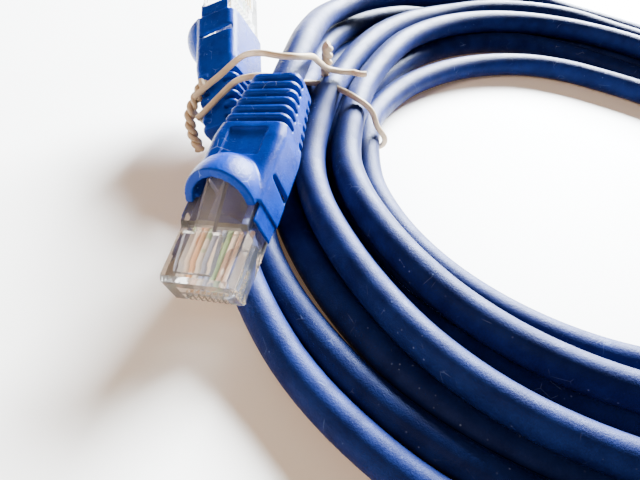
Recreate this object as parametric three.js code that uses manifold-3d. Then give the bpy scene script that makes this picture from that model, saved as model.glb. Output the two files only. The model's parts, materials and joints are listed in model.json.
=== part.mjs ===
// Coiled ethernet patch cable: eight turns of round cable held by a wire twist tie, with an 8P8C modular
// plug and a snagless boot on each end. Millimetres, +Z up, standing on z = 0.
import * as THREE from 'three';
import { mergeVertices } from 'three/addons/utils/BufferGeometryUtils.js';
import Module from 'manifold-3d';

const wasm = await Module();
wasm.setup();

// ---------------------------------------------------------------- driving dimensions
const CABLE_D = 5.8;
const GAP = 0.3;

// The coil: a ring of cable two layers high. Angles are in degrees, counter-clockwise from +X.
const COIL = {
  inner: 47.2, outer: 83.4, layer: 5.8, top: 10.8, upperInner: 57, upperOuter: 73, edge: 1.4, steps: 96,
};
const PINCH = { from: 212, tight: 190, release: 163, to: 138, scale: 0.64 };
const TIE_LIFT = { angle: 177, flat: 6, fade: 12, height: 2.1 };

// The modular plug, in its own frame: nose at y = 0, +Y towards the cable, +Z the latch side.
const PLUG = { width: 11.68, length: 21.5, noseHeight: 6.6, rearHeight: 7.4, rearFrom: 10, chamfer: 0.7 };
const CONTACT = { count: 8, pitch: 1.02, thickness: 0.35, slot: 0.6, y0: 0.9, y1: 5.6, z0: 0.3, z1: 1.9 };
const WIRE = { diameter: 0.8, y0: 1.7, y1: 11.6, z: 2.85 };
// Inside the plug: the pocket that grips the jacket, and the low row in front of it that the wires lie in.
const POCKET = { half: 4.6, y0: 9.6 };
const WIRE_ROW = { half: 4.4, y0: 1.3, y1: 9.8, z0: 2.2, z1: 3.6 };
const CABLE_Z = 3.6;
const JACKET_Y = 12;

// The latch: a sprung lever rooted at the nose, wide up to its shoulders and narrow behind them.
const LATCH = {
  headHalf: 3.1, tailHalf: 1.62, root: 1.0, rootTop: 7.6, flatEnd: 2.8, underside: 6.95,
  shoulder: 7.2, shoulderUnder: 7.85, shoulderTop: 9.1, end: 16.6, endUnder: 10.1, thickness: 1.1,
};

// The boot: two cheeks beside the plug, a hood over the latch, and a ribbed strain relief.
const BOOT = {
  halfWidth: 6.75, bottom: -1.0, top: 8.6, corner: 1.7, front: 14.5, cheekFront: 11.3, cheekTop: 7.0,
  taperFrom: 27, end: 42, endHalfWidth: 4.8, endBottom: -0.3, endTop: 7.6,
};
const CHEEK_BOTTOM = 0.6;
const HOOD = { half: 6.1, y: 14.6, z: 7.4, rise: 6.2, reach: 7.4, wall: 1.3, footY: 13.2, slant: 0.37 };
const LATCH_ROOM = { half: 3.9, past: 1.6, top: 10.2 };
const RIBS = { count: 6, first: 30.0, pitch: 2.0, groove: 0.85, depth: 1.0, band: 1.7 };
const PANEL = { half: 3.5, y0: 22.4, y1: 28.2, depth: 0.35 };

// Where the two plugs lie. The angles turn the plug about its own Y, then X, then Z.
const PLUG_A = { position: [-72.2, -49.8, 4.25], roll: -17.6, climb: 17.6, heading: -9.0 };
const PLUG_B = { position: [-81.6, 29.5, 23.5], roll: 120, climb: -20.8, heading: 191.3 };

// The free stretches of cable between each boot and the coil.
const ROUTE_A = [
  [-65.6, 1.5, 22.0], [-65.2, 8.5, 21.4], [-64.9, 15.5, 19.9], [-64.5, 22.5, 18.2], [-64.0, 29.5, 16.5],
  [-62.8, 36.5, 15.1], [-60.4, 43.0, 14.2], [-56.8, 49.0, 14.0], [-52.2, 54.4, 14.0],
];
const ROUTE_B = [
  [-76.6, -17.2, 4.3], [-76.2, -20.8, 3.5], [-75.7, -24.4, 3.1], [-75.0, -28.0, 2.95],
];

// The twist tie: once round under the coil, then back over the top as a second strand.
const TIE_D = 1.5;
const TIE_ROUTE = [
  [-52.0, 5.6, 16.9], [-54.6, 6.3, 16.5], [-57.4, 5.8, 16.6], [-59.8, 4.2, 17.8], [-61.6, 0.2, 20.8],
  [-62.8, -5.0, 24.3], [-65.0, -9.2, 26.0], [-68.2, -10.4, 26.3], [-71.2, -8.8, 25.6], [-74.0, -5.0, 23.4],
  [-76.3, -2.4, 21.2], [-78.3, -2.6, 19.3], [-80.3, -3.4, 17.3], [-82.4, -4.4, 15.5], [-84.9, -5.0, 12.9],
  [-85.9, -4.2, 9.6], [-84.8, -2.2, 6.2], [-82.6, -0.2, 3.2], [-79.4, 1.7, 1.5], [-74.0, 3.4, 1.1],
  [-62.0, 4.4, 1.1], [-48.6, 3.6, 1.1], [-45.9, 2.2, 2.6], [-45.7, 0.8, 6.0], [-47.7, 0.2, 9.5],
  [-50.4, 0.2, 12.5], [-54.0, 0.8, 14.3], [-58.0, 3.2, 14.3], [-61.2, 4.0, 14.3], [-65.0, 2.2, 15.0],
  [-68.8, -1.5, 17.2], [-72.0, -5.4, 19.4], [-74.8, -6.2, 19.0], [-76.9, -5.8, 17.6], [-79.3, -6.8, 15.2],
  [-81.4, -8.5, 13.1], [-83.6, -9.9, 10.9],
];

// Longer than any part here, for a cut that has to pass right through.
const BEYOND = 20;

// ---------------------------------------------------------------- materials
const plastic = (color, roughness) => new THREE.MeshStandardMaterial({ color, roughness, metalness: 0 });
const JACKET = plastic(0x14256e, 0.42);
const BOOT_BLUE = plastic(0x0c3fae, 0.34);
const CLEAR = new THREE.MeshStandardMaterial({
  color: 0xe9ecec, roughness: 0.08, transparent: true, opacity: 0.35,
});
const GOLD = new THREE.MeshStandardMaterial({ color: 0xd8a649, roughness: 0.28, metalness: 1 });
const TIE_CREAM = plastic(0xd9c9ab, 0.5);
// T568B order, pin 1 first: each pair's striped wire is pale, its partner solid.
const WIRE_COLOURS = [0xf3d9bf, 0xe0791f, 0xcfe3cf, 0x2457b8, 0xc9d6ee, 0x2d8a4a, 0xe0d2c4, 0x7a4a2c];

// ---------------------------------------------------------------- solids and booleans
const rad = THREE.MathUtils.degToRad;

function toSolid(geometry) {
  const bare = geometry.clone();
  bare.deleteAttribute('normal');
  bare.deleteAttribute('uv');
  const merged = mergeVertices(bare, 1e-4);
  return new wasm.Manifold(new wasm.Mesh({
    numProp: 3,
    vertProperties: new Float32Array(merged.attributes.position.array),
    triVerts: new Uint32Array(merged.index.array),
  }));
}

function toGeometry(solid) {
  const mesh = solid.getMesh();
  const geometry = new THREE.BufferGeometry();
  geometry.setAttribute('position', new THREE.BufferAttribute(mesh.vertProperties, 3));
  geometry.setIndex(new THREE.BufferAttribute(mesh.triVerts, 1));
  geometry.computeVertexNormals();
  return geometry;
}

// A box given by its low and high corners.
function box(low, high) {
  const size = high.map((value, i) => value - low[i]);
  const geometry = new THREE.BoxGeometry(...size);
  geometry.translate(...low.map((value, i) => value + size[i] / 2));
  return geometry;
}

// A profile in the (y, z) plane, extruded evenly to both sides of x = 0.
function profileAcross(points, width) {
  const shape = new THREE.Shape(points.map(([y, z]) => new THREE.Vector2(y, z)));
  const geometry = new THREE.ExtrudeGeometry(shape, { depth: width, bevelEnabled: false });
  geometry.translate(0, 0, -width / 2);
  geometry.applyMatrix4(new THREE.Matrix4().makeBasis(
    new THREE.Vector3(0, 1, 0), new THREE.Vector3(0, 0, 1), new THREE.Vector3(1, 0, 0)));
  return geometry;
}

function tube(points, diameter, sides, steps) {
  const section = new THREE.Shape();
  for (let i = 0; i < sides; i += 1) {
    const angle = (2 * Math.PI * i) / sides;
    const corner = [Math.cos(angle) * diameter / 2, Math.sin(angle) * diameter / 2];
    if (i === 0) section.moveTo(...corner);
    else section.lineTo(...corner);
  }
  const path = new THREE.CatmullRomCurve3(points.map((p) => new THREE.Vector3(...p)), false, 'centripetal');
  return new THREE.ExtrudeGeometry(section, { steps, extrudePath: path, bevelEnabled: false });
}

// One rounded-rectangle outline of the boot at y, as points in (x, z).
function roundedOutline(halfWidth, bottom, top, radius, perCorner) {
  const centres = [
    [halfWidth - radius, top - radius, 0], [-halfWidth + radius, top - radius, 90],
    [-halfWidth + radius, bottom + radius, 180], [halfWidth - radius, bottom + radius, 270],
  ];
  return centres.flatMap(([cx, cz, start]) => Array.from({ length: perCorner + 1 }, (_, i) => {
    const angle = rad(start + (90 * i) / perCorner);
    return [cx + radius * Math.cos(angle), cz + radius * Math.sin(angle)];
  }));
}

// A closed skin through rounded-rectangle sections, each { y, halfWidth, bottom, top, corner }.
function loft(sections) {
  const perCorner = 4;
  const rings = sections.map((s) => roundedOutline(s.halfWidth, s.bottom, s.top, s.corner, perCorner)
    .map(([x, z]) => [x, s.y, z]));
  const count = rings[0].length;
  const positions = rings.flat(2);
  const triangles = [];
  for (let ring = 0; ring < rings.length - 1; ring += 1) {
    for (let i = 0; i < count; i += 1) {
      const a = ring * count + i;
      const b = ring * count + ((i + 1) % count);
      triangles.push(a, a + count, b, b, a + count, b + count);
    }
  }
  const last = (rings.length - 1) * count;
  for (let i = 1; i < count - 1; i += 1) {
    triangles.push(0, i, i + 1, last, last + i + 1, last + i);
  }
  const geometry = new THREE.BufferGeometry();
  geometry.setAttribute('position', new THREE.Float32BufferAttribute(positions, 3));
  geometry.setIndex(triangles);
  return geometry;
}

function ellipsoid(radii, centre) {
  const geometry = new THREE.SphereGeometry(1, 28, 18);
  geometry.rotateX(Math.PI / 2);
  geometry.scale(...radii);
  geometry.translate(...centre);
  return geometry;
}

function cylinderAlongY(radius, y0, y1, z) {
  const geometry = new THREE.CylinderGeometry(radius, radius, y1 - y0, 20);
  geometry.translate(0, (y0 + y1) / 2, z);
  return geometry;
}

const contactX = (index) => (index - (CONTACT.count - 1) / 2) * CONTACT.pitch;

// ---------------------------------------------------------------- the plug
function plugBody() {
  const { width, length, noseHeight, rearHeight, rearFrom, chamfer } = PLUG;
  const outline = [
    [0, chamfer], [chamfer, 0], [length, 0], [length, rearHeight], [rearFrom, rearHeight],
    [rearFrom - 0.8, noseHeight], [chamfer, noseHeight], [0, noseHeight - chamfer],
  ];
  let solid = toSolid(profileAcross(outline, width));
  const pocketHalf = CABLE_D / 2 + GAP;
  const cuts = [
    // the pocket for the jacket, and the row that the eight wires lie in
    box([-POCKET.half, POCKET.y0, CABLE_Z - pocketHalf], [POCKET.half, 2 * BEYOND, CABLE_Z + pocketHalf]),
    box([-WIRE_ROW.half, WIRE_ROW.y0, WIRE_ROW.z0], [WIRE_ROW.half, WIRE_ROW.y1, WIRE_ROW.z1]),
  ];
  for (let i = 0; i < CONTACT.count; i += 1) {
    const x = contactX(i);
    const slotEnd = [x + CONTACT.slot / 2, CONTACT.y1 + GAP, WIRE_ROW.z0 + GAP / 2];
    cuts.push(box([x - CONTACT.slot / 2, -BEYOND, -BEYOND], slotEnd));
  }
  cuts.forEach((cut) => { solid = solid.subtract(toSolid(cut)); });
  return toGeometry(solid);
}

function latch() {
  const { root, rootTop, flatEnd, underside, thickness } = LATCH;
  const { shoulder, shoulderUnder, shoulderTop, end, endUnder } = LATCH;
  const head = profileAcross([
    [root, underside], [flatEnd, underside], [shoulder, shoulderUnder], [shoulder, shoulderTop],
    [2 * root, 8.0], [root, rootTop],
  ], 2 * LATCH.headHalf);
  const tail = profileAcross([
    [flatEnd, underside], [shoulder, shoulderUnder], [end, endUnder], [end, endUnder + thickness],
    [shoulder, shoulderUnder + thickness], [flatEnd, underside + thickness],
  ], 2 * LATCH.tailHalf);
  return toGeometry(toSolid(head).add(toSolid(tail)));
}

function contactBlade() {
  const { y0, y1, z0, z1, thickness } = CONTACT;
  const nose = 0.5;
  return profileAcross([
    [y0 + nose, z0], [y1, z0], [y1, z1], [y1 - 1, z1], [y1 - 1.4, z1 - 0.6], [y0 + 1.4, z1 - 0.6],
    [y0 + 1, z1], [y0, z1], [y0, z0 + nose],
  ], thickness);
}

// ---------------------------------------------------------------- the boot
function bootSection(y, inset) {
  const t = Math.max(0, (y - BOOT.taperFrom) / (BOOT.end - BOOT.taperFrom));
  const mix = (a, b) => a + (b - a) * t;
  return {
    y,
    halfWidth: mix(BOOT.halfWidth, BOOT.endHalfWidth) - inset,
    bottom: mix(BOOT.bottom, BOOT.endBottom) + inset,
    top: mix(BOOT.top, BOOT.endTop) - inset,
    corner: BOOT.corner,
  };
}

function hood() {
  const { half, y, z, rise, reach, wall, footY, slant } = HOOD;
  const outer = toSolid(ellipsoid([half, reach, rise], [0, y, z]));
  const inner = toSolid(ellipsoid([half - wall, reach - wall, rise - wall], [0, y, z]));
  // everything in front of the rim, which leans back from its feet, goes
  const rimTop = footY + slant * BEYOND;
  const front = profileAcross([
    [-BEYOND, z - BEYOND], [footY, z - BEYOND], [footY, z], [rimTop, z + BEYOND], [-BEYOND, z + BEYOND],
  ], 2 * BEYOND);
  const keepAbove = box([-BEYOND, 0, z - wall / 2], [BEYOND, 2 * BEYOND, z + BEYOND]);
  return outer.intersect(toSolid(keepAbove)).subtract(inner).subtract(toSolid(front));
}

function boot() {
  const { halfWidth, front, cheekFront, cheekTop, taperFrom, end } = BOOT;
  let solid = toSolid(loft([bootSection(front, 0), bootSection(taperFrom, 0), bootSection(end, 0)]));
  const cheeks = box([-halfWidth, cheekFront, CHEEK_BOTTOM], [halfWidth, front + 1, cheekTop]);
  solid = solid.add(toSolid(cheeks)).add(hood());
  const latchRoomEnd = LATCH.end + LATCH_ROOM.past;
  const cuts = [
    // the seat for the plug, the room for the latch to travel, and the bore for the cable
    box([-PLUG.width / 2 - GAP, 0, -GAP], [PLUG.width / 2 + GAP, PLUG.length + GAP, PLUG.rearHeight + GAP]),
    box([-LATCH_ROOM.half, 0, PLUG.rearHeight], [LATCH_ROOM.half, latchRoomEnd, LATCH_ROOM.top]),
    cylinderAlongY(CABLE_D / 2 + GAP, PLUG.length - 1, end + 1, CABLE_Z),
    box([-PANEL.half, PANEL.y0, BOOT.top - PANEL.depth], [PANEL.half, PANEL.y1, BOOT.top + 1]),
  ];
  cuts.forEach((cut) => { solid = solid.subtract(toSolid(cut)); });
  const core = toSolid(loft([bootSection(taperFrom, RIBS.depth), bootSection(end + 1, RIBS.depth)]));
  for (let i = 0; i < RIBS.count; i += 1) {
    const y0 = RIBS.first + i * RIBS.pitch;
    const y1 = y0 + RIBS.groove;
    const over = box([-BEYOND, y0, CABLE_Z + RIBS.band], [BEYOND, y1, BEYOND]);
    const under = box([-BEYOND, y0, -BEYOND], [BEYOND, y1, CABLE_Z - RIBS.band]);
    const grooves = toSolid(over).add(toSolid(under)).subtract(core);
    solid = solid.subtract(grooves);
  }
  return toGeometry(solid);
}

// ---------------------------------------------------------------- the coil
// How far the turns are drawn in towards the inner edge at an angle, from 1 (open) to PINCH.scale.
function pinchScale(degrees) {
  const closing = 1 - THREE.MathUtils.smoothstep(degrees, PINCH.tight, PINCH.from);
  const opening = THREE.MathUtils.smoothstep(degrees, PINCH.to, PINCH.release);
  return 1 - (1 - PINCH.scale) * closing * opening;
}

// How far the turns ride up where the tie passes under them.
function tieLift(degrees) {
  const away = Math.abs(degrees - TIE_LIFT.angle);
  return TIE_LIFT.height * (1 - THREE.MathUtils.smoothstep(away, TIE_LIFT.flat, TIE_LIFT.fade));
}

function coil() {
  const { inner, outer, layer, top, upperInner, upperOuter, edge, steps } = COIL;
  const half = layer / 2;
  const profile = [
    [inner + edge, 0], [outer - edge, 0], [outer, half], [outer - edge, layer],
    [upperOuter + 2 * edge, layer + GAP], [upperOuter + edge, top - edge], [upperOuter, top],
    [upperInner, top], [upperInner - 2 * edge, top - edge],
    [inner + edge, layer], [inner, half], [inner + edge, 0],
  ];
  const geometry = new THREE.LatheGeometry(profile.map(([r, z]) => new THREE.Vector2(r, z)), steps);
  geometry.rotateX(Math.PI / 2);
  const position = geometry.attributes.position;
  for (let i = 0; i < position.count; i += 1) {
    const [x, y, z] = [position.getX(i), position.getY(i), position.getZ(i)];
    const degrees = (THREE.MathUtils.radToDeg(Math.atan2(y, x)) + 360) % 360;
    const radius = inner + (Math.hypot(x, y) - inner) * pinchScale(degrees);
    const [east, north] = [radius * Math.cos(rad(degrees)), radius * Math.sin(rad(degrees))];
    position.setXYZ(i, east, north, z + tieLift(degrees));
  }
  geometry.computeVertexNormals();
  return geometry;
}

// ---------------------------------------------------------------- assembly
const cable = new THREE.Group();

function addMesh(parent, name, geometry, material) {
  const mesh = new THREE.Mesh(geometry, material);
  mesh.name = name;
  parent.add(mesh);
  return mesh;
}

function plugEnd(side, place) {
  const group = new THREE.Group();
  group.position.set(...place.position);
  group.rotation.set(rad(place.climb), rad(place.roll), rad(place.heading), 'ZXY');
  addMesh(group, `plug_${side}_body`, plugBody(), CLEAR);
  addMesh(group, `plug_${side}_latch`, latch(), CLEAR);
  addMesh(group, `boot_${side}`, boot(), BOOT_BLUE);
  for (let i = 0; i < CONTACT.count; i += 1) {
    const pin = i + 1;
    const blade = addMesh(group, `contact_${side}_${pin}`, contactBlade(), GOLD);
    blade.position.x = contactX(i);
    const wire = new THREE.CylinderGeometry(WIRE.diameter / 2, WIRE.diameter / 2, WIRE.y1 - WIRE.y0, 8);
    const conductor = addMesh(group, `conductor_${side}_${pin}`, wire, plastic(WIRE_COLOURS[i], 0.5));
    conductor.position.set(contactX(i), (WIRE.y0 + WIRE.y1) / 2, WIRE.z);
  }
  group.updateMatrixWorld(true);
  cable.add(group);
  return group;
}

// The cable from inside a plug, straight through its boot and on along a route to the coil.
function tail(group, route) {
  const inBoot = [];
  const stations = 6;
  for (let i = 0; i <= stations; i += 1) {
    const y = JACKET_Y + ((BOOT.end + 2 - JACKET_Y) * i) / stations;
    inBoot.push(group.localToWorld(new THREE.Vector3(0, y, CABLE_Z)).toArray());
  }
  const steps = 56;
  return tube([...inBoot, ...route], CABLE_D, 10, steps);
}

const plugA = plugEnd('a', PLUG_A);
const plugB = plugEnd('b', PLUG_B);
addMesh(cable, 'cable_coil', coil(), JACKET);
addMesh(cable, 'cable_tail_a', tail(plugA, ROUTE_A), JACKET);
addMesh(cable, 'cable_tail_b', tail(plugB, ROUTE_B), JACKET);
addMesh(cable, 'twist_tie', tube(TIE_ROUTE, TIE_D, 8, 80), TIE_CREAM);

// The origin goes under the middle of the whole thing, on the surface it lies on.
cable.updateMatrixWorld(true);
const bounds = new THREE.Box3().setFromObject(cable, true);
const middle = bounds.getCenter(new THREE.Vector3());
cable.position.set(-middle.x, -middle.y, -bounds.min.z);
cable.updateMatrixWorld(true);

export default cable;
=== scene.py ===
import json
import math

import bmesh
import bpy
from mathutils import Matrix, Vector


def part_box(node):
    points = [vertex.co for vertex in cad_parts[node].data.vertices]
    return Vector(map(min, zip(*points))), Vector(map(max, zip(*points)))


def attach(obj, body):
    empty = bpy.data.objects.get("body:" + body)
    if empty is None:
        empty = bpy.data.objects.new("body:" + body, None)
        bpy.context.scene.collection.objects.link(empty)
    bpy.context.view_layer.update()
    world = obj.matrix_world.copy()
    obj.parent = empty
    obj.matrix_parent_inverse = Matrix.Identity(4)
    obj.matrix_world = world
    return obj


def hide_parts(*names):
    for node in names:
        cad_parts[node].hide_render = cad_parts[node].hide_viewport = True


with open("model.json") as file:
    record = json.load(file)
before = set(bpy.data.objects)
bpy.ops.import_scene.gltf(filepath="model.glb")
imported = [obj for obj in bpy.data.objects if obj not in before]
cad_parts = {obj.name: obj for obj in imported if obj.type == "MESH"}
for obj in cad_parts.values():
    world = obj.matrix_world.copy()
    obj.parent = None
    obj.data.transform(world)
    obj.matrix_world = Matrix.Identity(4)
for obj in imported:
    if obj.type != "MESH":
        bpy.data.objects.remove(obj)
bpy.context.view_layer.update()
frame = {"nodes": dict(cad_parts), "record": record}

MM = 0.001
BODY = "cable"

# ------------------------------------------------------------------ driving sizes, in mm, as in the CAD
CABLE_D = 5.8
CABLE_R = CABLE_D / 2
CABLE_Z = 3.6
COIL_OUTER = 83.4
TIE_LIFT = {"angle": 177, "flat": 6, "fade": 12, "height": 2.1}
PLUG = {"half": 5.84, "length": 21.5, "rear": 7.4}
PLUG_A = {"position": (-72.2, -49.8, 4.25), "roll": -17.6, "climb": 17.6, "heading": -9.0}
PLUG_B = {"position": (-81.6, 29.5, 23.5), "roll": 120, "climb": -20.8, "heading": 191.3}
JACKET_Y = 12
BOOT_END = 42
GAP = 0.3

# The free stretches between each boot and the coil.
ROUTE_A = [
    (-65.6, 1.5, 22.0), (-65.2, 8.5, 21.4), (-64.9, 15.5, 19.9), (-64.5, 22.5, 18.2), (-64.0, 29.5, 16.5),
    (-62.8, 36.5, 15.1), (-60.4, 43.0, 14.2), (-56.8, 49.0, 14.0), (-52.2, 54.4, 14.0),
]
ROUTE_B = [
    (-76.6, -17.2, 4.3), (-76.2, -20.8, 3.5), (-75.7, -24.4, 3.1), (-75.0, -28.0, 2.95),
]
TIE_ROUTE = [
    (-52.0, 5.6, 16.9), (-53.2, 5.2, 16.9), (-54.6, 6.6, 16.4),
    (-57.4, 5.6, 16.7), (-59.8, 4.4, 17.6), (-61.6, 0.2, 20.8),
    (-62.8, -5.0, 24.3), (-65.0, -9.2, 26.0), (-68.2, -10.4, 26.3), (-71.2, -8.8, 25.6), (-74.0, -5.0, 23.4),
    (-76.3, -2.4, 21.2), (-78.3, -2.6, 19.3), (-80.3, -3.4, 17.3), (-82.4, -4.4, 15.5), (-84.9, -5.0, 12.9),
    (-85.9, -4.2, 9.6), (-84.8, -2.2, 6.2), (-82.6, -0.2, 3.2), (-79.4, 1.7, 1.5), (-74.0, 3.4, 1.1),
    (-62.0, 4.4, 1.1), (-49.2, 3.0, 1.1), (-46.6, 1.8, 2.6), (-46.2, 0.2, 5.6), (-48.3, -0.6, 8.8),
    (-50.2, -0.2, 12.2), (-54.0, 0.8, 14.1), (-58.0, 3.2, 14.3), (-61.2, 4.0, 14.3), (-65.0, 2.2, 15.0),
    (-68.8, -1.5, 17.2), (-72.0, -5.4, 19.4), (-74.8, -6.2, 19.0), (-76.9, -5.8, 17.6), (-79.3, -6.8, 15.2),
    (-81.4, -8.5, 13.1), (-83.6, -9.9, 10.9),
]
# Where the wire's two ends are twisted round each other: on top of the coil, and beside the second boot.
KNOT_LINE = [(-60.2, 6.6, 14.6), (-60.3, 6.0, 18.4), (-60.5, 4.6, 22.6)]
SIDE_TWIST_LINE = [
    (-83.6, -3.2, 15.4), (-84.9, -4.6, 12.4), (-86.0, -6.0, 9.2), (-85.2, -7.8, 6.2), (-83.4, -9.2, 3.2),
]
TIE_WIRE_D = 1.2
TWIST = {"radius": 0.56, "pitch": 3.6, "step": 0.35}

# How far out each turn lies, in mm from the coil's middle, at these angles. The cable is wound clockwise
# from where its first end lands on the coil, and a turn changes its place among the others on the right.
WOUND_FROM = 134
STATIONS = [134, 114, 93, 70, 45, 20, -10, -40, -70, -98, -118, -140, -155, -170, -183, -197, -212]
TURNS = [
    [75.4, 78.5, 78.9, 76, 72.5, 71.5, 71, 71, 71.3, 71.3, 69.6, 65.4, 64.2, 62, 59.3, 60.2, 62.8],
    [67, 72, 73.1, 70, 66.5, 65, 63, 61.5, 60.3, 60.1, 59.2, 57.4, 56.6, 55.2, 53.3, 54, 56],
    [60, 64.8, 67.4, 64, 60.5, 56.5, 52, 50.1, 50.1, 50.1, 50.1, 50.1, 50.1, 50.1, 50.1, 50.1, 50.1],
    [50.1, 50.8, 51.2, 49, 49.5, 52, 55.9, 55.9, 55.9, 55.9, 55.9, 55.9, 55.9, 55.9, 55.9, 55.9, 56.5],
    [59, 63.3, 64.6, 58.5, 57, 59, 61.7, 61.7, 61.7, 61.9, 61.7, 61.7, 61.7, 61.7, 61.7, 62, 63],
    [65.5, 69.2, 70.4, 65, 64, 66, 68.5, 70.5, 72, 72.6, 72.2, 69.2, 68.2, 67.6, 67.2, 68, 70],
    [72.5, 75.2, 76.2, 72, 71, 72.5, 74.8, 76.5, 77.9, 78.4, 78, 76.2, 74.6, 70.5, 64.8, 67, 72.2],
    [76.8, 80.8, 81.8, 79, 78.5, 79, 80.8, 82.4, 83.2, 83.6, 84.2, 82, 79.8],
]
WOUND_TO = -157
# The order in which the turns settle: a later one rests on those before it.
SETTLING = [3, 4, 5, 6, 7, 2, 1, 0]
TURN_STEP = 10
REST_STEP = 3
# The cable comes down onto the coil from this height, and sinks by LANDING_DROP over LANDING_STEPS steps.
LANDING = 14.0
LANDING_DROP = 5.0
LANDING_STEPS = 10

# ------------------------------------------------------------------ places
coil_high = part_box("cable_coil")[1]
RING_X = coil_high.x / MM - COIL_OUTER


def at(point):
    """A point given from the coil's middle in mm, in the row frame in metres."""
    x, y, z = point
    return Vector(((RING_X + x) * MM, y * MM, z * MM))


def plug_matrix(place):
    """From a plug's own frame (mm, nose at y = 0) to the row frame (metres)."""
    turn = Matrix.Rotation(math.radians(place["heading"]), 4, "Z")
    turn = turn @ Matrix.Rotation(math.radians(place["climb"]), 4, "X")
    turn = turn @ Matrix.Rotation(math.radians(place["roll"]), 4, "Y")
    return Matrix.Translation(at(place["position"])) @ turn @ Matrix.Scale(MM, 4)


MATRIX = {"a": plug_matrix(PLUG_A), "b": plug_matrix(PLUG_B)}

# ------------------------------------------------------------------ camera
PITCH = math.radians(42.5)
ROLL = math.radians(-7.4)
CAMERA_AT = (-57.0, -109.6, 75.0)
FOCAL_OVER_WIDTH = 605 / 640
SENSOR = 36


def make_camera():
    data = bpy.data.cameras.new("camera")
    data.sensor_width = SENSOR
    data.lens = FOCAL_OVER_WIDTH * SENSOR
    data.clip_start = 0.005
    forward = Vector((0, math.cos(PITCH), -math.sin(PITCH)))
    down = Vector((0, -math.sin(PITCH), -math.cos(PITCH)))
    across = Vector((1, 0, 0))
    right = math.cos(ROLL) * across + math.sin(ROLL) * down
    below = -math.sin(ROLL) * across + math.cos(ROLL) * down
    turn = Matrix((right, -below, -forward)).transposed().to_4x4()
    camera = bpy.data.objects.new("camera", data)
    camera.matrix_world = Matrix.Translation(at(CAMERA_AT)) @ turn
    bpy.context.scene.collection.objects.link(camera)
    bpy.context.scene.camera = camera


make_camera()


# ------------------------------------------------------------------ the cable's centreline
def smoothstep(low, high, value):
    t = min(1, max(0, (value - low) / (high - low)))
    return t * t * (3 - 2 * t)


def through(places, values, where):
    """A smooth value at where, through values given at rising places."""
    last = len(places) - 1
    i = 0
    while i < last - 1 and places[i + 1] < where:
        i += 1
    before, after = max(0, i - 1), min(last, i + 2)
    width = places[i + 1] - places[i]
    slope_0 = (values[i + 1] - values[before]) / (places[i + 1] - places[before]) * width
    slope_1 = (values[after] - values[i]) / (places[after] - places[i]) * width
    t = (where - places[i]) / width
    start = (2 * t ** 3 - 3 * t ** 2 + 1) * values[i] + (t ** 3 - 2 * t ** 2 + t) * slope_0
    return start + (3 * t ** 2 - 2 * t ** 3) * values[i + 1] + (t ** 3 - t ** 2) * slope_1


wound_places = [
    360 * turn + WOUND_FROM - angle for turn, row in enumerate(TURNS) for angle, _ in zip(STATIONS, row)
]
wound_radii = [radius for row in TURNS for radius in row]
WOUND_END = 360 * (len(TURNS) - 1) + WOUND_FROM - WOUND_TO


def floor_height(angle):
    """The height of a turn's middle where it lies on the table, or on the tie's wire."""
    away = abs((angle - TIE_LIFT["angle"] + 180) % 360 - 180)
    lift = 1 - smoothstep(TIE_LIFT["flat"], TIE_LIFT["fade"], away)
    return CABLE_R + TIE_LIFT["height"] * lift


def settled_heights():
    """Every turn's height at each step of the winding, each resting on those that it crosses."""
    count = 360 // REST_STEP
    heights = [[0.0] * count for _ in TURNS]
    for step in range(count):
        angle = WOUND_FROM - step * REST_STEP
        laid = []
        for turn in SETTLING:
            wound = 360 * turn + step * REST_STEP
            if wound > WOUND_END:
                continue
            radius = through(wound_places, wound_radii, wound)
            height = floor_height(angle)
            for other_radius, other_height in laid:
                apart = abs(radius - other_radius)
                if apart < CABLE_D:
                    height = max(height, other_height + math.sqrt(CABLE_D ** 2 - apart ** 2))
            laid.append((radius, height))
            heights[turn][step] = height
    line = [height for row in heights for height in row]
    line = line[:int(WOUND_END / REST_STEP) + 1]
    for i in range(LANDING_STEPS):
        line[i] = max(line[i], LANDING - LANDING_DROP * smoothstep(0, LANDING_STEPS, i))
    for _ in range(2):
        near = [line[max(0, i - 1):i + 2] for i in range(len(line))]
        line = [sum(part) / len(part) for part in near]
    line[0] = LANDING
    return line


def coil_points():
    heights = settled_heights()
    steps = [REST_STEP * i for i in range(len(heights))]
    points = []
    wound = TURN_STEP
    while wound < WOUND_END:
        angle = math.radians(WOUND_FROM - wound)
        radius = through(wound_places, wound_radii, wound)
        height = through(steps, heights, wound)
        points.append(at((radius * math.cos(angle), radius * math.sin(angle), height)))
        wound += TURN_STEP
    return points


def inside_boot(side):
    stations = 6
    pitch = (BOOT_END + 2 - JACKET_Y) / stations
    return [MATRIX[side] @ Vector((0, JACKET_Y + i * pitch, CABLE_Z)) for i in range(stations + 1)]


def cable_points():
    points = inside_boot("a") + [at(p) for p in ROUTE_A]
    points += coil_points()
    points += [at(p) for p in reversed(ROUTE_B)]
    points += list(reversed(inside_boot("b")))
    return points


def wire_curve(name, strands, diameter, detail, sides):
    """A round wire or cable through points, one open spline for each strand."""
    data = bpy.data.curves.new(name, "CURVE")
    data.dimensions = "3D"
    data.bevel_depth = diameter / 2
    data.bevel_resolution = sides
    data.resolution_u = detail
    data.use_fill_caps = True
    for points in strands:
        spline = data.splines.new("BEZIER")
        spline.bezier_points.add(len(points) - 1)
        for i, point in enumerate(points):
            before = points[max(0, i - 1)]
            after = points[min(len(points) - 1, i + 1)]
            tangent = (after - before).normalized()
            knot = spline.bezier_points[i]
            knot.handle_left_type = knot.handle_right_type = "FREE"
            knot.co = point
            knot.handle_left = point - tangent * max(1e-6, (point - before).length) / 3
            knot.handle_right = point + tangent * max(1e-6, (after - point).length) / 3
    obj = bpy.data.objects.new(name, data)
    bpy.context.scene.collection.objects.link(obj)
    return obj


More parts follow.
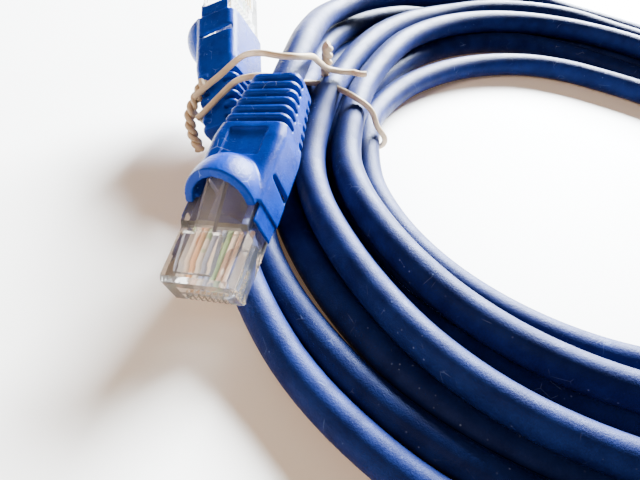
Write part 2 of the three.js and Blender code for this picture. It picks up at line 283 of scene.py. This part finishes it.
# ------------------------------------------------------------------ materials
def material(name):
    made = bpy.data.materials.new(name)
    made.use_nodes = True
    return made, made.node_tree, made.node_tree.nodes["Principled BSDF"]


def node(tree, kind, **settings):
    made = tree.nodes.new(kind)
    for key, value in settings.items():
        if key in made.inputs:
            made.inputs[key].default_value = value
        else:
            setattr(made, key, value)
    return made


def noise(tree, scale, detail=3.0, roughness=0.55):
    place = tree.nodes.new("ShaderNodeTexCoord")
    made = node(tree, "ShaderNodeTexNoise", Scale=scale, Detail=detail, Roughness=roughness)
    tree.links.new(place.outputs["Object"], made.inputs["Vector"])
    return made.outputs["Fac"]


def voronoi(tree, scale, feature):
    place = tree.nodes.new("ShaderNodeTexCoord")
    made = node(tree, "ShaderNodeTexVoronoi", feature=feature)
    made.inputs["Scale"].default_value = scale
    tree.links.new(place.outputs["Object"], made.inputs["Vector"])
    return made.outputs["Distance"]


def spread(tree, source, low, high, out_low, out_high):
    made = node(tree, "ShaderNodeMapRange")
    made.inputs["From Min"].default_value = low
    made.inputs["From Max"].default_value = high
    made.inputs["To Min"].default_value = out_low
    made.inputs["To Max"].default_value = out_high
    tree.links.new(source, made.inputs["Value"])
    return made.outputs["Result"]


def mixed(tree, factor, first, second):
    made = node(tree, "ShaderNodeMix", data_type="RGBA")
    tree.links.new(factor, made.inputs["Factor"])
    for socket, colour in ((made.inputs[6], first), (made.inputs[7], second)):
        if isinstance(colour, tuple):
            socket.default_value = (*colour, 1)
        else:
            tree.links.new(colour, socket)
    return made.outputs[2]


def times(tree, first, second):
    made = node(tree, "ShaderNodeMath", operation="MULTIPLY")
    tree.links.new(first, made.inputs[0])
    tree.links.new(second, made.inputs[1])
    return made.outputs[0]


def bump(tree, shader, height, strength, distance):
    made = node(tree, "ShaderNodeBump", Strength=strength, Distance=distance)
    tree.links.new(height, made.inputs["Height"])
    tree.links.new(made.outputs["Normal"], shader.inputs["Normal"])


def soft_plastic(name, dark, light, dust_and_glint, rough, grain, sheen):
    """Flexible plastic: a mottled colour, fine grain, pale dust and a few short fibres. On the boots the
    pale specks and fibres are bright enough to be painted glints as well as dust.
    """
    made, tree, shader = material(name)
    mottle = spread(tree, noise(tree, 260, 4), 0.35, 0.65, 0, 1)
    colour = mixed(tree, mottle, dark, light)
    # Pale specks: dust, and on the boots painted glints too.
    dust_and_glint_mask = spread(tree, voronoi(tree, 620, "F1"), 0.05, 0.11, 0.55, 0)
    patches = spread(tree, noise(tree, 90, 2), 0.45, 0.65, 0, 1)
    colour = mixed(tree, times(tree, dust_and_glint_mask, patches), colour, dust_and_glint)
    edge = spread(tree, voronoi(tree, 330, "DISTANCE_TO_EDGE"), 0.006, 0.02, 0.3, 0)
    few = spread(tree, noise(tree, 300, 1), 0.62, 0.7, 0, 1)
    colour = mixed(tree, times(tree, edge, few), colour, dust_and_glint)
    tree.links.new(colour, shader.inputs["Base Color"])
    uneven = spread(tree, noise(tree, 420, 4), 0.3, 0.7, rough[0], rough[1])
    tree.links.new(uneven, shader.inputs["Roughness"])
    bump(tree, shader, noise(tree, 2600, 4, 0.7), grain, 0.0002)
    shader.inputs["Specular IOR Level"].default_value = 0.1
    shader.inputs["Specular Tint"].default_value = (*sheen, 1)
    shader.inputs["IOR"].default_value = 1.5
    return made


def clear_plastic(name):
    """Clear polycarbonate that lets lamps through, with faint moulding ripple."""
    made, tree, shader = material(name)
    shader.inputs["Base Color"].default_value = (1, 1, 1, 1)
    shader.inputs["Transmission Weight"].default_value = 0.96
    shader.inputs["IOR"].default_value = 1.55
    rough = spread(tree, noise(tree, 350, 3), 0.3, 0.7, 0.0, 0.02)
    tree.links.new(rough, shader.inputs["Roughness"])
    bump(tree, shader, noise(tree, 700, 2), 0.05, 0.0002)
    clear = node(tree, "ShaderNodeBsdfTransparent", Color=(0.94, 0.95, 0.95, 1))
    path = tree.nodes.new("ShaderNodeLightPath")
    mix = tree.nodes.new("ShaderNodeMixShader")
    out = tree.nodes["Material Output"]
    tree.links.new(path.outputs["Is Shadow Ray"], mix.inputs["Fac"])
    tree.links.new(shader.outputs["BSDF"], mix.inputs[1])
    tree.links.new(clear.outputs["BSDF"], mix.inputs[2])
    tree.links.new(mix.outputs["Shader"], out.inputs["Surface"])
    return made


def gold(name):
    made, tree, shader = material(name)
    tint = spread(tree, noise(tree, 1500, 3), 0.3, 0.7, 0, 1)
    tree.links.new(mixed(tree, tint, (0.86, 0.58, 0.2), (0.98, 0.74, 0.34)), shader.inputs["Base Color"])
    shader.inputs["Metallic"].default_value = 1
    rough = spread(tree, noise(tree, 2200, 3), 0.3, 0.7, 0.2, 0.34)
    tree.links.new(rough, shader.inputs["Roughness"])
    return made


def insulation(name, base, stripe):
    """A conductor's insulation, with the pair's colour in a stripe on the pale one."""
    made, tree, shader = material(name)
    bands = spread(tree, noise(tree, 330, 0), 0.48, 0.52, 0, 1)
    colour = mixed(tree, bands, base, stripe)
    tree.links.new(colour, shader.inputs["Base Color"])
    rough = spread(tree, noise(tree, 900, 2), 0.3, 0.7, 0.35, 0.5)
    tree.links.new(rough, shader.inputs["Roughness"])
    return made


def glowing_pale_floor(name):
    made, tree, shader = material(name)
    tone = spread(tree, noise(tree, 14, 2), 0.3, 0.7, 0, 1)
    tree.links.new(mixed(tree, tone, (0.91, 0.895, 0.87), (0.94, 0.925, 0.9)), shader.inputs["Base Color"])
    shader.inputs["Roughness"].default_value = 0.6
    # The floor glows faintly warm, though it is no lamp: painted warm shade that tints its shadows.
    shader.inputs["Emission Color"].default_value = (1.0, 0.6, 0.32, 1)
    shader.inputs["Emission Strength"].default_value = 0.12
    return made


JACKET = soft_plastic(
    "jacket_blue_pvc", dark=(0.004, 0.008, 0.058), light=(0.007, 0.015, 0.092), dust_and_glint=(0.14, 0.2, 0.4),
    rough=(0.4, 0.53), grain=0.4, sheen=(0.25, 0.42, 1.0),
)
# The boots' bright pale specks are painted glints as well as dust.
BOOT_BLUE = soft_plastic(
    "boot_blue_pvc", dark=(0.001, 0.018, 0.19), light=(0.002, 0.03, 0.28), dust_and_glint=(0.4, 0.56, 1.0),
    rough=(0.2, 0.3), grain=0.5, sheen=(0.5, 0.7, 1.0),
)
TIE_CREAM = soft_plastic(
    "tie_cream_plastic", dark=(0.42, 0.31, 0.2), light=(0.55, 0.43, 0.3), dust_and_glint=(0.7, 0.6, 0.45),
    rough=(0.4, 0.55), grain=0.2, sheen=(1.0, 0.95, 0.85),
)
CLEAR = clear_plastic("clear_polycarbonate")
GOLD = gold("gold_plate")
WIRE_PAIRS = [
    ((0.84, 0.5, 0.26), "orange"),
    ((0.3, 0.55, 0.3), "green"),
    ((0.3, 0.4, 0.66), "blue"),
    ((0.45, 0.32, 0.24), "brown"),
]
PALE = (0.88, 0.85, 0.8)


def wire_materials():
    by_slot = {}
    for colour, word in WIRE_PAIRS:
        darker = tuple(0.8 * channel for channel in colour)
        by_slot["wire_" + word] = insulation("wire_" + word, colour, darker)
        by_slot["wire_white_" + word] = insulation("wire_white_" + word, PALE, colour)
    return by_slot


WIRES = wire_materials()


def dress(obj, chosen):
    obj.data.materials.clear()
    obj.data.materials.append(chosen)


# ------------------------------------------------------------------ the cable
cable = wire_curve("patch_cable", [cable_points()], CABLE_D * MM, 5, 6)
dress(cable, JACKET)
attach(cable, BODY)
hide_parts("cable_coil", "cable_tail_a", "cable_tail_b")


# ------------------------------------------------------------------ solids in a plug's own frame, in mm
def solid(name, vertices, faces):
    mesh = bpy.data.meshes.new(name)
    mesh.from_pydata([tuple(v) for v in vertices], [], faces)
    build = bmesh.new()
    build.from_mesh(mesh)
    bmesh.ops.recalc_face_normals(build, faces=build.faces)
    build.to_mesh(mesh)
    build.free()
    obj = bpy.data.objects.new(name, mesh)
    bpy.context.scene.collection.objects.link(obj)
    return obj


def skin(name, rings):
    """A closed solid through rings of equally many points."""
    count = len(rings[0])
    faces = []
    for ring in range(len(rings) - 1):
        for i in range(count):
            a, b = ring * count + i, ring * count + (i + 1) % count
            faces.append((a, b, b + count, a + count))
    faces.append(tuple(range(count)))
    faces.append(tuple(range((len(rings) - 1) * count, len(rings) * count)))
    return solid(name, [point for ring in rings for point in ring], faces)


def block(name, low, high):
    corners = [(low[0], low[2]), (high[0], low[2]), (high[0], high[2]), (low[0], high[2])]
    return skin(name, [[(x, y, z) for x, z in corners] for y in (low[1], high[1])])


def prism(name, profile, half):
    """A (y, z) profile carried across from -half to half."""
    return skin(name, [[(x, y, z) for y, z in profile] for x in (-half, half)])


def rod(name, radius, y0, y1, z, sides=32):
    angles = [2 * math.pi * i / sides for i in range(sides)]
    circle = [(radius * math.cos(a), z + radius * math.sin(a)) for a in angles]
    return skin(name, [[(x, y, height) for x, height in circle] for y in (y0, y1)])


def dome(name, radii, centre):
    """An ellipsoid, its poles to the front and the back."""
    across, along = 40, 28
    rings = []
    for j in range(1, along):
        tilt = math.pi * j / along
        ring = []
        for i in range(across):
            turn = 2 * math.pi * i / across
            x = radii[0] * math.sin(tilt) * math.cos(turn)
            z = radii[2] * math.sin(tilt) * math.sin(turn)
            ring.append((centre[0] + x, centre[1] - radii[1] * math.cos(tilt), centre[2] + z))
        rings.append(ring)
    return skin(name, rings)


def combine(obj, other, operation):
    change = obj.modifiers.new(operation, "BOOLEAN")
    change.operation = operation
    change.solver = "EXACT"
    change.object = other
    settle(obj)
    bpy.data.objects.remove(other)


def settle(obj):
    """Puts the modifiers' result in the mesh and takes the modifiers off."""
    result = bpy.data.meshes.new_from_object(obj.evaluated_get(bpy.context.evaluated_depsgraph_get()))
    obj.modifiers.clear()
    obj.data = result


def join_soft(obj, voxel, rounds):
    """Melts joined solids into one skin and rounds its edges."""
    melt = obj.modifiers.new("melt", "REMESH")
    melt.mode = "VOXEL"
    melt.voxel_size = voxel
    melt.use_smooth_shade = True
    ease = obj.modifiers.new("ease", "SMOOTH")
    ease.factor = 0.5
    ease.iterations = rounds
    settle(obj)


def place(obj, side, chosen, slot):
    obj.data.transform(MATRIX[side])
    dress(obj, chosen)
    for face in obj.data.polygons:
        face.use_smooth = True
    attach(obj, BODY)


# ------------------------------------------------------------------ the boots
BOOT = {
    "half": 6.75, "bottom": -1.0, "top": 8.6, "corner": 1.9, "front": 14.2, "taper": 27,
    "end_half": 4.8, "end_bottom": -0.3, "end_top": 7.6, "end_corner": 1.6,
}
CHEEK = {"half": 6.5, "front": 11.0, "bottom": 0.5, "top": 7.0}
RIBS = {"count": 6, "first": 30.3, "pitch": 2.02, "half_width": 0.42, "depth": 1.15, "band": 1.5}
HOOD = {
    "half": 6.2, "y": 14.6, "z": 7.3, "rise": 6.2, "reach": 7.6, "wall": 1.45, "foot": 13.0, "slant": 0.37,
}
PANEL = {"half": 3.5, "y0": 22.4, "y1": 28.2, "depth": 0.4}
LATCH_ROOM = {"half": 3.9, "end": 18.2, "top": 10.2}
NOTCH = {"y": 19.4, "width": 0.7, "depth": 0.55, "top": 7.0, "foot": -3, "foot_y": (0.6, -1.2)}
# How far a cutting solid reaches past what it cuts.
CUT = 12
VOXEL = 0.2
OUTLINE_POINTS = 112


def rounded_outline(half, low, high, corner):
    """A rounded rectangle's points in (x, z), evenly spaced, from the middle of its right side."""
    centres = [(half, high, 0), (-half, high, 90), (-half, low, 180), (half, low, 270)]
    corners = []
    for x, z, start in centres:
        cx = x - math.copysign(corner, x)
        cz = z - corner if z == high else z + corner
        for i in range(9):
            a = math.radians(start + 90 * i / 8)
            corners.append(Vector((cx + corner * math.cos(a), cz + corner * math.sin(a))))
    middle = Vector((half, (low + high) / 2))
    line = [middle, *corners, middle]
    total = sum((b - a).length for a, b in zip(line, line[1:]))
    points, walked, i = [], 0.0, 0
    for k in range(OUTLINE_POINTS):
        want = total * k / OUTLINE_POINTS
        while walked + (line[i + 1] - line[i]).length < want:
            walked += (line[i + 1] - line[i]).length
            i += 1
        points.append(line[i].lerp(line[i + 1], (want - walked) / (line[i + 1] - line[i]).length))
    return points


def groove_depth(y):
    depth = 0.0
    for i in range(RIBS["count"]):
        off = (y - RIBS["first"] - i * RIBS["pitch"]) / RIBS["half_width"]
        depth = max(depth, RIBS["depth"] * math.exp(-off ** 4))
    return depth


def boot_ring(y):
    t = max(0, (y - BOOT["taper"]) / (BOOT_END - BOOT["taper"]))
    half = BOOT["half"] + (BOOT["end_half"] - BOOT["half"]) * t
    low = BOOT["bottom"] + (BOOT["end_bottom"] - BOOT["bottom"]) * t
    high = BOOT["top"] + (BOOT["end_top"] - BOOT["top"]) * t
    corner = BOOT["corner"] + (BOOT["end_corner"] - BOOT["corner"]) * t
    outline = rounded_outline(half, low, high, corner)
    depth = groove_depth(y)
    if depth < 0.01:
        return [(x, y, z) for x, z in outline]
    inner = rounded_outline(half - depth, low + depth, high - depth, max(0.3, corner - depth / 2))
    ring = []
    for (x, z), (x_in, z_in) in zip(outline, inner):
        open_here = smoothstep(RIBS["band"], RIBS["band"] + 0.7, abs(z - CABLE_Z))
        ring.append((x + (x_in - x) * open_here, y, z + (z_in - z) * open_here))
    return ring


def hood(name):
    centre = (0, HOOD["y"], HOOD["z"])
    shell = dome(name, (HOOD["half"], HOOD["reach"], HOOD["rise"]), centre)
    wall = HOOD["wall"]
    inside = (HOOD["half"] - wall, HOOD["reach"] - wall, HOOD["rise"] - wall)
    combine(shell, dome("hood_inside", inside, centre), "DIFFERENCE")
    foot, high = HOOD["foot"], HOOD["z"] + CUT
    front = [(0, -CUT), (foot, -CUT), (foot, HOOD["z"]), (foot + HOOD["slant"] * CUT, high), (0, high)]
    combine(shell, prism("hood_front", front, CUT), "DIFFERENCE")
    combine(shell, block("hood_below", (-CUT, 0, -CUT), (CUT, 40, HOOD["z"] - 0.6)), "DIFFERENCE")
    return shell


def boot(side):
    steps = 232
    pitch = (BOOT_END - BOOT["front"]) / steps
    body = skin("boot_body_" + side, [boot_ring(BOOT["front"] + i * pitch) for i in range(steps + 1)])
    low = (-CHEEK["half"], CHEEK["front"], CHEEK["bottom"])
    cheeks = block("cheeks", low, (CHEEK["half"], BOOT["front"] + 1, CHEEK["top"]))
    combine(body, cheeks, "UNION")
    combine(body, hood("hood"), "UNION")
    plug_half = PLUG["half"] + GAP
    seat_low = (-plug_half, 0, -GAP)
    seat_high = (plug_half, PLUG["length"] + GAP, PLUG["rear"] + GAP)
    combine(body, block("seat", seat_low, seat_high), "DIFFERENCE")
    room_low = (-LATCH_ROOM["half"], 0, PLUG["rear"])
    room_high = (LATCH_ROOM["half"], LATCH_ROOM["end"], LATCH_ROOM["top"])
    combine(body, block("room", room_low, room_high), "DIFFERENCE")
    bore = rod("bore", CABLE_R + GAP / 2, PLUG["length"] - 1, BOOT_END + 1, CABLE_Z)
    combine(body, bore, "DIFFERENCE")
    panel_low = (-PANEL["half"], PANEL["y0"], BOOT["top"] - PANEL["depth"])
    combine(body, block("panel", panel_low, (PANEL["half"], PANEL["y1"], BOOT["top"] + 1)), "DIFFERENCE")
    for hand in (-1, 1):
        outside = hand * (BOOT["half"] - NOTCH["depth"])
        ends = sorted((outside, hand * 9))
        y = NOTCH["y"]
        notch = [
            (y, NOTCH["top"]), (y + NOTCH["width"], NOTCH["top"] - 0.4),
            *((y + step, NOTCH["foot"]) for step in NOTCH["foot_y"]),
        ]
        combine(body, skin("notch", [[(x, a, b) for a, b in notch] for x in ends]), "DIFFERENCE")
    join_soft(body, VOXEL, 3)
    place(body, side, BOOT_BLUE, "boot_blue")
    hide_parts("boot_" + side)
    return body


boots = {side: boot(side) for side in "ab"}


# ------------------------------------------------------------------ the twist tie
def along_line(places, axis, where):
    return Vector([through(places, [point[k] for point in axis], where) for k in range(3)])


def twisted_pair(line):
    """Two strands wound round a line, as points for each."""
    axis = [at(p) / MM for p in line]
    places = [0.0]
    for before, after in zip(axis, axis[1:]):
        places.append(places[-1] + (after - before).length)
    count = int(places[-1] / TWIST["step"])
    strands = [[], []]
    for i in range(count + 1):
        where = places[-1] * i / count
        middle = along_line(places, axis, where)
        ahead = along_line(places, axis, min(places[-1], where + 0.2))
        back = along_line(places, axis, max(0, where - 0.2))
        along = (ahead - back).normalized()
        side = along.cross(Vector((0, 1, 0.2))).normalized()
        up = side.cross(along)
        for strand, start in ((0, 0), (1, math.pi)):
            turn = start + 2 * math.pi * where / TWIST["pitch"]
            off = (side * math.cos(turn) + up * math.sin(turn)) * TWIST["radius"]
            strands[strand].append((middle + off) * MM)
    return strands


tie_strands = {
    "tie_wire": [[at(p) for p in TIE_ROUTE]],
    "tie_knot": twisted_pair(KNOT_LINE),
    "tie_side_twist": twisted_pair(SIDE_TWIST_LINE),
}
for name, strands in tie_strands.items():
    wire = wire_curve(name, strands, TIE_WIRE_D * MM, 6, 4)
    dress(wire, TIE_CREAM)
    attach(wire, BODY)
    if name == "tie_wire":
        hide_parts("twist_tie")

# ------------------------------------------------------------------ CAD nodes that stay
EDGE = 0.13 * MM


def round_edges(obj):
    ease = obj.modifiers.new("edges", "BEVEL")
    ease.width = EDGE
    ease.segments = 2
    ease.limit_method = "ANGLE"
    ease.angle_limit = math.radians(35)
    ease.harden_normals = True


slots = {part["node"]: part["material_slot"] for part in frame["record"]["subparts"]}
for name, obj in frame["nodes"].items():
    slot = slots[name]
    if slot in WIRES:
        obj.material_slots[0].material = WIRES[slot]
    elif slot == "gold_contact":
        obj.material_slots[0].material = GOLD
    elif slot == "clear_polycarbonate":
        obj.material_slots[0].material = CLEAR
        round_edges(obj)
    elif slot == "boot_blue":
        obj.material_slots[0].material = BOOT_BLUE
    elif slot == "tie_cream":
        obj.material_slots[0].material = TIE_CREAM

# ------------------------------------------------------------------ floor and light
FLOOR_HALF = 0.9
FLOOR_DROP = 0.00005
LAMP_AWAY = 0.8


def make_floor():
    mesh = bpy.data.meshes.new("floor")
    corners = [(-1, -1), (1, -1), (1, 1), (-1, 1)]
    points = [(x * FLOOR_HALF, y * FLOOR_HALF, -FLOOR_DROP) for x, y in corners]
    mesh.from_pydata(points, [], [(0, 1, 2, 3)])
    floor = bpy.data.objects.new("floor", mesh)
    bpy.context.scene.collection.objects.link(floor)
    dress(floor, glowing_pale_floor("floor_pale"))


def area_light(name, direction, size, watts, colour):
    data = bpy.data.lights.new(name, "AREA")
    data.shape = "RECTANGLE"
    data.size, data.size_y = size
    data.energy = watts
    data.color = colour
    light = bpy.data.objects.new(name, data)
    away = Vector(direction).normalized()
    light.location = away * LAMP_AWAY
    light.rotation_mode = "QUATERNION"
    light.rotation_quaternion = away.to_track_quat("Z", "Y")
    bpy.context.scene.collection.objects.link(light)


def make_light():
    world = bpy.data.worlds.new("soft_room")
    world.use_nodes = True
    sky = world.node_tree.nodes["Background"]
    sky.inputs["Color"].default_value = (1.0, 0.87, 0.75, 1)
    sky.inputs["Strength"].default_value = 0.22
    bpy.context.scene.world = world
    area_light("window", (0.32, 0.82, 0.41), (0.42, 0.26), 165, (0.88, 0.95, 1.0))
    area_light("front_fill", (-0.62, -0.52, 0.6), (0.22, 0.34), 4.5, (1.0, 0.68, 0.45))


make_floor()
make_light()
